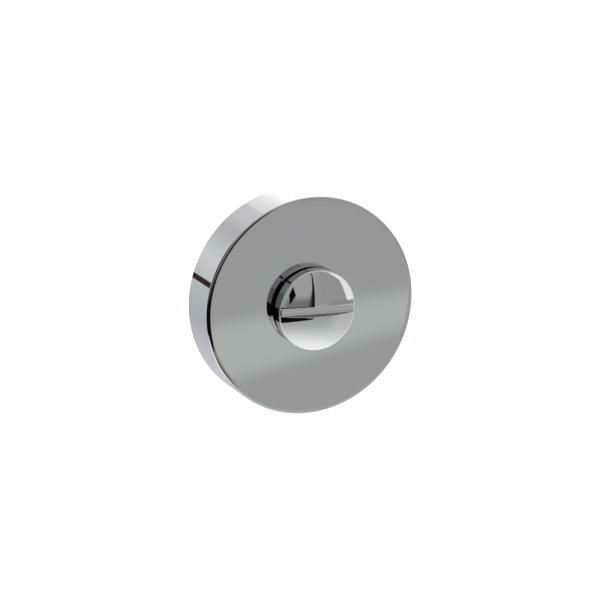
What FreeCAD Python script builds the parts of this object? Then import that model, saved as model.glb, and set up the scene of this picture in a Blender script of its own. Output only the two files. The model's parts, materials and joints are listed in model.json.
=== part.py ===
# Bathroom thumb turn on a round rose, in millimetres.
#
# The row frame: +Z up, the rose looks towards -Y, the door lies on its +Y side. The origin is the centre
# of the face that lies on the door. Every piece is drawn in one drawing frame, whose Z axis is the turn's
# axis and points out of the door, and is then laid down into the row frame by one placement.
import FreeCAD, Part
import math
import os
import Sketcher

V = FreeCAD.Vector
doc = FreeCAD.newDocument("bathroom_thumb_turn")

# Driving dimensions
SIZES = [
    ("rose_diameter", 50, "cover rose"),
    ("rose_height", 11, "door face to the rose's face"),
    ("rose_edge", 0.9, "radius of the cover's front edge"),
    ("cover_wall", 1.3, "side wall of the cover"),
    ("cover_front", 1.4, "front wall of the cover"),
    ("neck_hole_gap", 0.3, "between the turn's neck and the cover's hole"),
    ("notch_width", 6, "pry notch in the cover's lower edge"),
    ("notch_height", 1.2, "pry notch, up from the door face"),
    ("turn_diameter", 18.4, "domed disc of the turn"),
    ("turn_gap", 0.9, "rose's face to the back of the disc"),
    ("disc_thickness", 2.8, "disc of the turn, at its rim"),
    ("rim_bevel", 0.2, "bevel between the side of the disc and its dome"),
    ("disc_back_bevel", 0.3, "bevel of the disc's back edge"),
    ("dome_height", 1.4, "dome of the disc above its rim"),
    ("slot_width", 1.5, "coin slot across the dome, at its floor"),
    ("slot_draft", 10, "degrees that each wall of the slot leans outwards"),
    ("slot_drop", 0.1, "floor of the slot behind the rim"),
    ("neck_diameter", 14, "neck under the disc"),
    ("neck_root", 0.4, "slope between the neck and the disc"),
    ("shank_diameter", 9, "shank that turns in the bush"),
    ("shank_flats", 7.6, "across the two flats of the shank"),
    ("shank_setback", 0.2, "shank's end in front of the door face"),
    ("socket_depth", 10, "square socket in the shank"),
    ("socket_gap", 0.05, "spindle to socket, each side"),
    ("running_gap", 0.05, "shank to bush, radial"),
    ("seat_gap", 0.02, "between pieces that are pressed or clamped together"),
    ("base_gap", 0.15, "base to cover, radial"),
    ("base_wall", 1.9, "outer wall of the base"),
    ("base_web", 3, "front web of the base"),
    ("base_lead", 0.6, "chamfer round the base's front edge"),
    ("rib_thickness", 1.2, "ribs of the base"),
    ("rib_count", 16, "ribs of the base"),
    ("hub_wall", 1.3, "wall round the stop pocket"),
    ("boss_wall", 1.4, "wall round the screw holes"),
    ("bolt_margin", 6, "outside of the rose to the middle of a through bolt, 38 mm from the other"),
    ("bolt_hole", 4.3, "clearance hole of an M4 bolt"),
    ("bolt_head", 7.5, "countersink of an M4 bolt"),
    ("plate_margin", 3.2, "outside of the rose to the edge of the steel plate on the base"),
    ("plate_thickness", 1.6, "steel plate on the base"),
    ("peg_diameter", 3, "locating pegs of the base"),
    ("peg_height", 1, "locating pegs"),
    ("screw_margin", 8, "outside of the rose to the middle of a wood screw or a peg"),
    ("screw_diameter", 3.5, "wood screw"),
    ("screw_core", 2.4, "core of the wood screw's point"),
    ("screw_head", 7, "countersunk head of the wood screw"),
    ("screw_length", 16, "wood screw, with its head"),
    ("screw_point", 4, "tapered end of the wood screw"),
    ("screw_tip", 0.3, "blunt tip of the wood screw's point"),
    ("screw_gap", 0.15, "wood screw to its hole, radial"),
    ("recess_width", 2.6, "across the cross recess of a screw"),
    ("recess_slot", 0.8, "wing of the cross recess"),
    ("recess_depth", 1.3, "cross recess"),
    ("flange_width", 2, "flange of the bush, out from its barrel"),
    ("flange_thickness", 0.7, "flange of the bush"),
    ("flange_gap", 0.3, "flange of the bush to the inside of the cover's front"),
    ("bush_wall", 1.45, "barrel of the bush"),
    ("thrust_thickness", 0.5, "washer under the turn's shoulder"),
    ("washer_gap", 0.15, "bore of a washer to the shank, radial"),
    ("wear_width", 2.55, "wear washer in the base's recess, from bore to edge"),
    ("wear_thickness", 0.4, "wear washer in the base's recess"),
    ("wave_width", 2.15, "wave washer, from bore to edge"),
    ("wave_strip", 0.3, "steel of the wave washer"),
    ("wave_height", 0.9, "wave washer as fitted"),
    ("wave_count", 3, "waves of the wave washer"),
    ("stop_width", 2.7, "stop washer, from the shank to its edge"),
    ("stop_thickness", 0.8, "stop washer"),
    ("stop_tab_length", 2.6, "tab of the stop washer, out from its edge"),
    ("stop_tab_width", 2.6, "tab of the stop washer"),
    ("stop_gap", 0.1, "tab to the pocket, at the limits"),
    ("pocket_gap", 0.4, "tab to the pocket's round wall and its floor"),
    ("turn_angle", 90, "degrees that the turn moves"),
    ("recess_gap", 0.4, "widest washer to the base's recess, radial"),
    ("clip_thickness", 1, "circlip"),
    ("clip_groove_depth", 0.2, "groove in the shank"),
    ("clip_groove_play", 0.1, "groove wider than the circlip"),
    ("clip_land", 0.6, "shank behind the groove"),
    ("clip_back_width", 1.7, "circlip, opposite its gap"),
    ("clip_ear_width", 0.8, "circlip, beside its ears"),
    ("clip_ear", 1.2, "radius of the circlip's ears"),
    ("clip_ear_hole", 0.5, "radius of the holes in the ears"),
    ("clip_ear_spread", 1.9, "ears from the circlip's centre line"),
    ("clip_opening", 1.2, "gap of the circlip"),
    ("spindle_size", 5, "square spindle, across its flats"),
    ("spindle_reach", 36, "spindle behind the door face"),
    ("spindle_chamfer", 0.5, "chamfer of the spindle's ends"),
    ("spindle_end_gap", 0.2, "spindle to the socket's floor"),
    ("pin_diameter", 2, "spring pin through shank and spindle"),
    ("pin_wall", 0.4, "rolled steel of the spring pin"),
    ("pin_slot", 0.5, "slot of the spring pin"),
    ("pin_short", 0.3, "pin's end inside the shank's surface"),
    ("ring_width", 1.1, "snap ring, from inside to outside"),
    ("ring_thickness", 1, "snap ring"),
    ("ring_bevel", 0.3, "bevels that let the snap ring ride over the cover's edge"),
    ("ring_bite", 0.15, "snap ring into the cover's wall"),
    ("ring_gap", 0.1, "snap ring to its grooves"),
    ("ring_room", 0.3, "room behind the snap ring, for it to close into"),
    ("ring_height", 2.4, "snap ring's middle from the door face"),
    ("ring_opening", 24, "degrees of the snap ring's gap"),
]

sheet = doc.addObject("Spreadsheet::Sheet", "sizes")
for row, (alias, number, note) in enumerate(SIZES, start=1):
    sheet.set(f"A{row}", note)
    sheet.set(f"B{row}", str(number))
    sheet.setAlias(f"B{row}", alias)
doc.recompute()


def size(expression):
    """Value of an expression written in the sheet's names."""
    found = sheet.evalExpression(expression)
    return float(getattr(found, "Value", found))


# Radii from the axis, and heights from the door face, as expressions in the sheet's names
def of(name):
    return f"sizes.{name}"


def total(*terms):
    return "(" + " + ".join(terms) + ")"


def less(whole, *parts):
    return "(" + " - ".join((whole,) + parts) + ")"


def half(expression):
    return f"({expression} / 2)"


ROSE_R = half(of("rose_diameter"))
COVER_BORE_R = less(ROSE_R, of("cover_wall"))
BASE_R = less(COVER_BORE_R, of("base_gap"))
NECK_R = half(of("neck_diameter"))
NECK_HOLE_R = total(NECK_R, of("neck_hole_gap"))
TURN_R = half(of("turn_diameter"))
DOME_R = less(TURN_R, of("rim_bevel"))
SHANK_R = half(of("shank_diameter"))
BUSH_BORE_R = total(SHANK_R, of("running_gap"))
BUSH_R = total(BUSH_BORE_R, of("bush_wall"))
BUSH_HOLE_R = total(BUSH_R, of("seat_gap"))
FLANGE_R = total(BUSH_R, of("flange_width"))
WASHER_BORE_R = total(SHANK_R, of("washer_gap"))
GROOVE_R = less(SHANK_R, of("clip_groove_depth"))
WEAR_R = total(WASHER_BORE_R, of("wear_width"))
STOP_R = total(SHANK_R, of("stop_width"))
TAB_R = total(STOP_R, of("stop_tab_length"))
RECESS_R = total(f"max({STOP_R}; {WEAR_R})", of("recess_gap"))
POCKET_R = total(TAB_R, of("pocket_gap"))
HUB_R = total(POCKET_R, of("hub_wall"))
WALL_INNER_R = less(BASE_R, of("base_wall"))
BOLT_R = half(of("bolt_hole"))
BOLT_PLACE = less(ROSE_R, of("bolt_margin"))
SCREW_PLACE = less(ROSE_R, of("screw_margin"))
SCREW_R = half(of("screw_diameter"))
SCREW_HOLE_R = total(SCREW_R, of("screw_gap"))
SCREW_HEAD_R = half(of("screw_head"))
SOCKET_HALF = total(half(of("spindle_size")), of("socket_gap"))
PIN_R = half(of("pin_diameter"))
RING_R = total(COVER_BORE_R, of("ring_bite"))
RING_INNER_R = less(RING_R, of("ring_width"))
RING_BACK = less(of("ring_height"), half(of("ring_thickness")))
RING_FRONT = total(RING_BACK, of("ring_thickness"))

CEILING = less(of("rose_height"), of("cover_front"))
DISC_BACK = total(of("rose_height"), of("turn_gap"))
RIM = total(DISC_BACK, of("disc_thickness"))
DOME_TOP = total(RIM, of("dome_height"))
FLANGE_TOP = less(CEILING, of("flange_gap"))
PLATE_TOP = less(FLANGE_TOP, of("flange_thickness"))
BASE_TOP = less(PLATE_TOP, of("plate_thickness"))
SHOULDER = total(FLANGE_TOP, of("thrust_thickness"), of("seat_gap"))
GROOVE_BACK = total(of("shank_setback"), of("clip_land"))
CLIP_BACK = total(GROOVE_BACK, of("clip_groove_play"))
CLIP_FRONT = total(CLIP_BACK, of("clip_thickness"))
STOP_FRONT = total(CLIP_FRONT, of("stop_thickness"))
WAVE_FRONT = total(STOP_FRONT, of("wave_height"))
RECESS_FLOOR = total(WAVE_FRONT, of("wear_thickness"), of("seat_gap"))
SOCKET_FLOOR = total(of("shank_setback"), of("socket_depth"))
SPINDLE_FRONT = less(SOCKET_FLOOR, of("spindle_end_gap"))
PIN_HEIGHT = half(total(RECESS_FLOOR, PLATE_TOP))

# The drawing frame's Z axis, out of the door, becomes the row frame's -Y axis
LAID_DOWN = FreeCAD.Placement(V(), FreeCAD.Rotation(V(1, 0, 0), 90))


# Helpers for bodies, sketches and features
def new_body(label):
    body = doc.addObject("PartDesign::Body", label)
    body.Label = label
    body.Placement = LAID_DOWN
    return body


def origin_part(body, role):
    return next(item for item in body.Origin.OriginFeatures if item.Role == role)


def new_sketch(body, name, plane="XY_Plane", height=None, angle=0):
    """Empty sketch on one of its body's origin planes, raised to a height and turned about its normal."""
    sketch = body.newObject("Sketcher::SketchObject", name)
    sketch.AttachmentSupport = [(origin_part(body, plane), "")]
    sketch.MapMode = "FlatFace"
    sketch.AttachmentOffset = FreeCAD.Placement(V(), FreeCAD.Rotation(V(0, 0, 1), angle))
    if height:
        sketch.setExpression("AttachmentOffset.Base.z", height)
    return sketch


def bind(sketch, kind, *where, expression):
    """Sketch constraint whose value follows an expression."""
    index = sketch.addConstraint(Sketcher.Constraint(kind, *where, size(expression)))
    sketch.setExpression(f"Constraints[{index}]", expression)


def fix_point(sketch, item, end, across, along):
    """Place the end of a sketch line or arc by two expressions from the sketch's origin."""
    if across == "0":
        sketch.addConstraint(Sketcher.Constraint("PointOnObject", item, end, -2))
    else:
        bind(sketch, "DistanceX", -1, 1, item, end, expression=across)
    if along == "0":
        sketch.addConstraint(Sketcher.Constraint("PointOnObject", item, end, -1))
    else:
        bind(sketch, "DistanceY", -1, 1, item, end, expression=along)


def add_outline(sketch, corners):
    """Closed outline of straight edges through corners, each a pair of expressions."""
    places = [V(size(across), size(along), 0) for across, along in corners]
    first = sketch.GeometryCount
    count = len(corners)
    for i in range(count):
        sketch.addGeometry(Part.LineSegment(places[i], places[(i + 1) % count]), False)
    for i in range(count):
        meet = Sketcher.Constraint("Coincident", first + i, 2, first + (i + 1) % count, 1)
        sketch.addConstraint(meet)
    for i, (across, along) in enumerate(corners):
        fix_point(sketch, first + i, 1, across, along)
    return sketch


def add_rectangle(sketch, left, bottom, right, top):
    return add_outline(sketch, [(left, bottom), (right, bottom), (right, top), (left, top)])


def add_circle(sketch, radius, across="0", along="0"):
    centre = V(size(across), size(along), 0)
    item = sketch.addGeometry(Part.Circle(centre, V(0, 0, 1), size(radius)), False)
    bind(sketch, "Radius", item, expression=radius)
    fix_point(sketch, item, 3, across, along)
    return sketch


def feature(body, kind, name, sketch, length=None):
    """Pad, Pocket, Revolution or Groove of a sketch, which becomes the body's last feature."""
    made = body.newObject(f"PartDesign::{kind}", name)
    made.Profile = sketch
    if kind in ("Revolution", "Groove"):
        made.ReferenceAxis = (sketch, ["V_Axis"])
        made.Angle = 360
    elif length:
        made.setExpression("Length", length)
    else:
        made.Type = "ThroughAll"
    if kind == "Pocket":
        # sketches lie at the back of what they cut, so a pocket goes forward, along the drawing frame's Z
        made.Reversed = True
    body.Tip = made
    doc.recompute()
    return made


def polar(body, name, original, count):
    """Copies of a feature round the turn's axis."""
    pattern = body.newObject("PartDesign::PolarPattern", name)
    pattern.Originals = [original]
    pattern.Axis = (origin_part(body, "Z_Axis"), [""])
    pattern.Angle = 360
    pattern.Occurrences = count
    body.Tip = pattern
    doc.recompute()
    return pattern


def edges_at(base, test):
    return [f"Edge{i}" for i, edge in enumerate(base.Shape.Edges, start=1) if test(edge)]


def on_circle(radius, height):
    """Test for whole circles about the axis, of this radius and at this height."""
    def test(edge):
        box = edge.BoundBox
        at_height = abs(box.ZMin - size(height)) < NEAR and abs(box.ZMax - size(height)) < NEAR
        return at_height and abs(box.XMax - size(radius)) < NEAR and abs(box.XMin + size(radius)) < NEAR
    return test


NEAR = 1e-4  # how close an edge lies to where it is looked for


def dress(body, kind, name, base, edges, amount):
    """Fillet or Chamfer of some edges of a feature."""
    made = body.newObject(f"PartDesign::{kind}", name)
    made.Base = (base, edges)
    made.setExpression("Radius" if kind == "Fillet" else "Size", amount)
    body.Tip = made
    doc.recompute()
    return made


def cross_hole(body, name, radius, length, height):
    """Round hole along X, square through the axis at a height."""
    hole = body.newObject("PartDesign::SubtractiveCylinder", name)
    hole.setExpression("Radius", radius)
    hole.setExpression("Height", length)
    hole.Placement = FreeCAD.Placement(V(), FreeCAD.Rotation(V(0, 1, 0), 90))
    hole.setExpression("Placement.Base.x", f"-({length}) / 2")
    hole.setExpression("Placement.Base.z", height)
    body.Tip = hole
    doc.recompute()
    return hole


def washer(label, outer, bore, back, thickness):
    """Flat ring about the axis."""
    body = new_body(label)
    ring = new_sketch(body, f"{label}_ring", height=back)
    add_circle(ring, outer)
    add_circle(ring, bore)
    feature(body, "Pad", f"{label}_pad", ring, thickness)
    return body


# Cover rose: a turned and drawn brass cap, with a hole for the neck and a groove for the snap ring
def cover_rose():
    body = new_body("cover_rose")
    groove_r = total(RING_R, of("ring_gap"))
    groove_back, groove_front = less(RING_BACK, of("ring_gap")), total(RING_FRONT, of("ring_gap"))
    section = add_outline(new_sketch(body, "cover_section", "XZ_Plane"), [
        (ROSE_R, "0"),
        (ROSE_R, of("rose_height")),
        (NECK_HOLE_R, of("rose_height")),
        (NECK_HOLE_R, CEILING),
        (COVER_BORE_R, CEILING),
        (COVER_BORE_R, groove_front),
        (groove_r, groove_front),
        (groove_r, groove_back),
        (COVER_BORE_R, groove_back),
        (COVER_BORE_R, "0"),
    ])
    cap = feature(body, "Revolution", "cover_cap", section)
    rim = edges_at(cap, on_circle(ROSE_R, of("rose_height")))
    dress(body, "Fillet", "cover_edge", cap, rim, of("rose_edge"))
    notch = new_sketch(body, "notch_outline")
    notch_half = half(of("notch_width"))
    notch_top = f"-{less(COVER_BORE_R, of('cover_wall'))}"
    add_rectangle(notch, f"-{notch_half}", f"-{ROSE_R}", notch_half, notch_top)
    feature(body, "Pocket", "pry_notch", notch, of("notch_height"))
    return body


# Base: a nylon moulding, cored from the back, with a hub, ribs and a boss for each hole
def base_plate():
    body = new_body("base_plate")
    base_round = add_circle(new_sketch(body, "base_round"), BASE_R)
    disc = feature(body, "Pad", "base_disc", base_round, BASE_TOP)
    front_edge = edges_at(disc, on_circle(BASE_R, BASE_TOP))
    dress(body, "Chamfer", "base_lead_in", disc, front_edge, of("base_lead"))

    core_depth = less(BASE_TOP, of("base_web"))
    core = new_sketch(body, "core_ring")
    add_circle(core, WALL_INNER_R)
    add_circle(core, HUB_R)
    feature(body, "Pocket", "coring", core, core_depth)

    rib_half = half(of("rib_thickness"))
    rib = new_sketch(body, "rib_outline")
    add_rectangle(rib, less(HUB_R, rib_half), f"-{rib_half}", total(WALL_INNER_R, rib_half), rib_half)
    rib_pad = feature(body, "Pad", "rib", rib, BASE_TOP)
    polar(body, "ribs", rib_pad, round(size(of("rib_count"))))

    bolt_boss_r = total(BOLT_R, of("boss_wall"))
    bosses = new_sketch(body, "bolt_boss_rounds")
    for side in ("", "-"):
        add_circle(bosses, bolt_boss_r, side + BOLT_PLACE, "0")
    feature(body, "Pad", "bolt_bosses", bosses, BASE_TOP)
    screw_boss = new_sketch(body, "screw_boss_round", angle=45)
    add_circle(screw_boss, total(SCREW_HOLE_R, of("boss_wall")), SCREW_PLACE, "0")
    polar(body, "screw_bosses", feature(body, "Pad", "screw_boss", screw_boss, BASE_TOP), 4)

    pegs = new_sketch(body, "peg_rounds", height=BASE_TOP)
    for side in ("", "-"):
        add_circle(pegs, half(of("peg_diameter")), "0", side + SCREW_PLACE)
    feature(body, "Pad", "pegs", pegs, of("peg_height"))

    recess_round = add_circle(new_sketch(body, "recess_round"), RECESS_R)
    feature(body, "Pocket", "washer_recess", recess_round, RECESS_FLOOR)
    feature(body, "Pocket", "stop_pocket", stop_pocket_sketch(body), total(STOP_FRONT, of("pocket_gap")))
    feature(body, "Pocket", "bush_hole", add_circle(new_sketch(body, "bush_hole_round"), BUSH_HOLE_R))
    bolt_holes = new_sketch(body, "bolt_hole_rounds")
    for side in ("", "-"):
        add_circle(bolt_holes, BOLT_R, side + BOLT_PLACE, "0")
    feature(body, "Pocket", "bolt_holes", bolt_holes)
    screw_hole = new_sketch(body, "screw_hole_round", angle=45)
    add_circle(screw_hole, SCREW_HOLE_R, SCREW_PLACE, "0")
    polar(body, "screw_holes", feature(body, "Pocket", "screw_hole", screw_hole), 4)

    groove = new_sketch(body, "ring_groove_section", "XZ_Plane")
    add_rectangle(groove, less(RING_INNER_R, of("ring_room")), less(RING_BACK, of("ring_gap")),
                  total(BASE_R, of("base_gap")), total(RING_FRONT, of("ring_gap")))
    feature(body, "Groove", "ring_groove", groove)
    return body


def stop_pocket_sketch(body):
    """Pie slice above the axis that the stop washer's tab sweeps, with its clearance at both limits."""
    tab_half = total(half(of("stop_tab_width")), of("stop_gap"))
    swing = f"(90 deg - {half(of('turn_angle'))} * 1 deg - asin({tab_half} / {RECESS_R}))"
    across = f"({POCKET_R} * cos({swing}))"
    along = f"({POCKET_R} * sin({swing}))"
    sketch = new_sketch(body, "stop_pocket_slice")
    right = V(size(across), size(along), 0)
    left = V(-right.x, right.y, 0)
    start = math.atan2(right.y, right.x)
    sketch.addGeometry(Part.LineSegment(V(), right), False)
    round_wall = Part.Circle(V(), V(0, 0, 1), right.Length)
    sketch.addGeometry(Part.ArcOfCircle(round_wall, start, math.pi - start), False)
    sketch.addGeometry(Part.LineSegment(left, V()), False)
    for first, second in ((0, 1), (1, 2), (2, 0)):
        sketch.addConstraint(Sketcher.Constraint("Coincident", first, 2, second, 1))
    sketch.addConstraint(Sketcher.Constraint("Coincident", 0, 1, -1, 1))
    sketch.addConstraint(Sketcher.Constraint("Coincident", 1, 3, -1, 1))
    fix_point(sketch, 0, 2, across, along)
    bind(sketch, "DistanceX", -1, 1, 2, 1, expression=f"-{across}")
    return sketch


# Clamp plate: a zinc-plated steel disc that spreads the screws' pull over the base
def clamp_plate():
    body = new_body("clamp_plate")
    outline = new_sketch(body, "plate_rounds", height=BASE_TOP)
    add_circle(outline, less(ROSE_R, of("plate_margin")))
    add_circle(outline, BUSH_HOLE_R)
    feature(body, "Pad", "plate", outline, of("plate_thickness"))

    pegs = new_sketch(body, "peg_hole_rounds", height=BASE_TOP)
    for side in ("", "-"):
        peg_hole_r = total(half(of("peg_diameter")), of("seat_gap"))
        add_circle(pegs, peg_hole_r, "0", side + SCREW_PLACE)
    feature(body, "Pocket", "peg_holes", pegs, of("plate_thickness"))

    holes = (
        ("bolt", BOLT_R, half(of("bolt_head")), BOLT_PLACE, 0, 2),
        ("screw", SCREW_HOLE_R, total(SCREW_HEAD_R, of("seat_gap")), SCREW_PLACE, 45, 4),
    )
    for name, hole_r, head_r, offset, angle, count in holes:
        drill = new_sketch(body, f"{name}_drill", height=BASE_TOP, angle=angle)
        add_circle(drill, hole_r, offset, "0")
        hole = feature(body, "Pocket", f"{name}_hole", drill, of("plate_thickness"))
        polar(body, f"{name}_holes", hole, count)
        sink = body.newObject("PartDesign::SubtractiveCone", f"{name}_countersink")
        sink.setExpression("Radius1", hole_r)
        sink.setExpression("Radius2", head_r)
        sink.setExpression("Height", less(head_r, hole_r))
        sink.setExpression("Placement.Base.x", f"{offset} * cos({angle} deg)")
        sink.setExpression("Placement.Base.y", f"{offset} * sin({angle} deg)")
        sink.setExpression("Placement.Base.z", less(PLATE_TOP, less(head_r, hole_r)))
        body.Tip = sink
        doc.recompute()
        polar(body, f"{name}_countersinks", sink, count)
    return body


# Snap ring: open ring of flat spring wire, bevelled outside so that the cover snaps over it
def snap_ring():
    body = new_body("snap_ring")
    # the section is swept to both sides of the bottom, which leaves the gap in the middle of the top
    body.Placement = LAID_DOWN.multiply(FreeCAD.Placement(V(), FreeCAD.Rotation(V(0, 0, 1), -90)))
    section = add_outline(new_sketch(body, "ring_section", "XZ_Plane"), [
        (RING_INNER_R, RING_BACK),
        (less(RING_R, of("ring_bevel")), RING_BACK),
        (RING_R, total(RING_BACK, of("ring_bevel"))),
        (RING_R, less(RING_FRONT, of("ring_bevel"))),
        (less(RING_R, of("ring_bevel")), RING_FRONT),
        (RING_INNER_R, RING_FRONT),
    ])
    ring = feature(body, "Revolution", "ring_sweep", section)
    ring.Midplane = True
    ring.setExpression("Angle", f"360 - {of('ring_opening')}")
    return body


# Bearing bush: turned acetal, its flange on the clamp plate and its barrel pressed into the base
def bearing_bush():
    body = new_body("bearing_bush")
    section = add_outline(new_sketch(body, "bush_section", "XZ_Plane"), [
        (BUSH_BORE_R, RECESS_FLOOR),
        (BUSH_R, RECESS_FLOOR),
        (BUSH_R, PLATE_TOP),
        (FLANGE_R, PLATE_TOP),
        (FLANGE_R, FLANGE_TOP),
        (BUSH_BORE_R, FLANGE_TOP),
    ])
    feature(body, "Revolution", "bush_turning", section)
    return body


# Thumb turn: a chromed casting, the domed disc with its coin slot, the neck and the shank
def thumb_turn():
    body = new_body("thumb_turn")
    section = add_outline(new_sketch(body, "turn_section", "XZ_Plane"), [
        ("0", of("shank_setback")),
        (SHANK_R, of("shank_setback")),
        (SHANK_R, GROOVE_BACK),
        (GROOVE_R, GROOVE_BACK),
        (GROOVE_R, CLIP_FRONT),
        (SHANK_R, CLIP_FRONT),
        (SHANK_R, SHOULDER),
        (NECK_R, SHOULDER),
        (NECK_R, DISC_BACK),
        (TURN_R, DISC_BACK),
        (TURN_R, less(RIM, of("rim_bevel"))),
        (DOME_R, RIM),
        ("0", RIM),
    ])
    turned = feature(body, "Revolution", "turned_form", section)
    neck_corner = edges_at(turned, on_circle(NECK_R, DISC_BACK))
    neck = dress(body, "Chamfer", "neck_root", turned, neck_corner, of("neck_root"))
    back_edge = edges_at(neck, on_circle(TURN_R, DISC_BACK))
    dress(body, "Chamfer", "disc_back_bevel", neck, back_edge, of("disc_back_bevel"))
    feature(body, "Revolution", "dome", dome_sketch(body))
    feature(body, "Pocket", "coin_slot", slot_sketch(body), total(TURN_R, TURN_R))

    flats = new_sketch(body, "flats_outline", height=of("shank_setback"))
    flat_half = half(of("shank_flats"))
    add_rectangle(flats, flat_half, f"-{SHANK_R}", total(SHANK_R, SHANK_R), SHANK_R)
    add_rectangle(flats, f"-{total(SHANK_R, SHANK_R)}", f"-{SHANK_R}", f"-{flat_half}", SHANK_R)
    feature(body, "Pocket", "shank_flats", flats, less(STOP_FRONT, of("shank_setback")))

    socket = new_sketch(body, "socket_outline", height=of("shank_setback"))
    add_rectangle(socket, f"-{SOCKET_HALF}", f"-{SOCKET_HALF}", SOCKET_HALF, SOCKET_HALF)
    feature(body, "Pocket", "spindle_socket", socket, of("socket_depth"))
    cross_hole(body, "pin_hole", total(PIN_R, of("seat_gap")), total(SHANK_R, SHANK_R, SHANK_R), PIN_HEIGHT)
    return body


def dome_sketch(body):
    """Half of the dome's section: a flat back at the rim and an arc whose highest point is on the axis."""
    sketch = new_sketch(body, "dome_section", "XZ_Plane")
    edge_r, rim, top = size(DOME_R), size(RIM), size(DOME_TOP)
    rise = top - rim
    sphere_r = (edge_r ** 2 + rise ** 2) / (2 * rise)
    centre = V(0, top - sphere_r, 0)
    start = math.acos(edge_r / sphere_r)
    sketch.addGeometry(Part.LineSegment(V(0, rim, 0), V(edge_r, rim, 0)), False)
    sketch.addGeometry(Part.ArcOfCircle(Part.Circle(centre, V(0, 0, 1), sphere_r), start, math.pi / 2), False)
    sketch.addGeometry(Part.LineSegment(V(0, top, 0), V(0, rim, 0)), False)
    for first, first_end, second, second_end in ((0, 2, 1, 1), (1, 2, 2, 1), (2, 2, 0, 1)):
        sketch.addConstraint(Sketcher.Constraint("Coincident", first, first_end, second, second_end))
    sketch.addConstraint(Sketcher.Constraint("PointOnObject", 1, 3, -2))
    fix_point(sketch, 0, 1, "0", RIM)
    fix_point(sketch, 0, 2, DOME_R, RIM)
    fix_point(sketch, 2, 1, "0", DOME_TOP)
    return sketch


def slot_sketch(body):
    """Section of the coin slot, whose leaning walls run on past the top of the dome."""
    floor = less(RIM, of("slot_drop"))
    open_top = total(DOME_TOP, of("dome_height"))
    floor_half = half(of("slot_width"))
    open_half = total(floor_half, f"{less(open_top, floor)} * tan({of('slot_draft')} * 1 deg)")
    sketch = new_sketch(body, "slot_section", "YZ_Plane", height=f"-{TURN_R}")
    return add_outline(sketch, [
        (f"-{floor_half}", floor),
        (floor_half, floor),
        (open_half, open_top),
        (f"-{open_half}", open_top),
    ])


# Wave washer: a steel ring whose mid-surface rises and falls a few times round the axis
def wave_washer():
    inner = size(WASHER_BORE_R)
    outer = inner + size(of("wave_width"))
    strip, waves = size(of("wave_strip")), round(size(of("wave_count")))
    lift = (size(of("wave_height")) - strip) / 2 - size(of("seat_gap"))
    middle = size(STOP_FRONT) + size(of("wave_height")) / 2

    def crest_line(radius, offset):
        steps = 12 * waves
        points = []
        for i in range(steps):
            turn = 2 * math.pi * i / steps
            rise = middle + offset + lift * math.sin(waves * turn)
            points.append(V(radius * math.cos(turn), radius * math.sin(turn), rise))
        curve = Part.BSplineCurve()
        curve.interpolate(points, PeriodicFlag=True)
        return curve.toShape()

    corners = ((inner, -1), (outer, -1), (outer, 1), (inner, 1))
    lines = [crest_line(radius, side * strip / 2) for radius, side in corners]
    faces = [Part.makeRuledSurface(lines[i], lines[(i + 1) % 4]) for i in range(4)]
    solid = Part.makeSolid(Part.makeShell(faces))
    if solid.Volume < 0:
        solid.reverse()
    ring = doc.addObject("Part::Feature", "wave_washer")
    ring.Label = "wave_washer"
    ring.Shape = solid
    ring.Placement = LAID_DOWN
    return ring


# Stop washer: steel disc with a tab, keyed on the shank's two flats
def primitive(kind, name, turn=0, **values):
    """Part primitive with expressions for its sizes and its place in the drawing frame."""
    made = doc.addObject(f"Part::{kind}", name)
    made.Placement = FreeCAD.Placement(V(), FreeCAD.Rotation(V(0, 0, 1), turn))
    for key, expression in values.items():
        made.setExpression(f"Placement.Base.{key}" if key in "xyz" else key, expression)
    return made


def boolean(kind, name, base, tool):
    made = doc.addObject(f"Part::{kind}", name)
    made.Base = base
    made.Tool = tool
    return made


def stop_washer():
    disc = primitive("Cylinder", "stop_disc", Radius=STOP_R, Height=of("stop_thickness"), z=CLIP_FRONT)
    # at rest the tab stands at the anticlockwise end of its pocket, and the turn moves it clockwise
    rest = f"({half(of('turn_angle'))} + 90)"
    width = of("stop_tab_width")
    tab = primitive("Box", "stop_tab", turn=size(rest), Length=TAB_R, Width=width,
                    Height=of("stop_thickness"), z=CLIP_FRONT,
                    x=f"{half(width)} * sin({rest} * 1 deg)", y=f"-{half(width)} * cos({rest} * 1 deg)")
    round_key = primitive("Cylinder", "key_round", Radius=total(SHANK_R, of("running_gap")),
                          Height=of("rose_height"))
    key_half = total(half(of("shank_flats")), of("running_gap"))
    key_length = total(of("shank_diameter"), of("shank_diameter"))
    flat_key = primitive("Box", "key_flats", Length=total(key_half, key_half), Width=key_length,
                         Height=of("rose_height"), x=f"-{key_half}", y=f"-{half(key_length)}")
    key = boolean("Common", "key_form", round_key, flat_key)
    blank = boolean("Fuse", "stop_blank", disc, tab)
    made = boolean("Cut", "stop_washer", blank, key)
    made.Label = "stop_washer"
    made.Placement = LAID_DOWN
    return made


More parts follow.
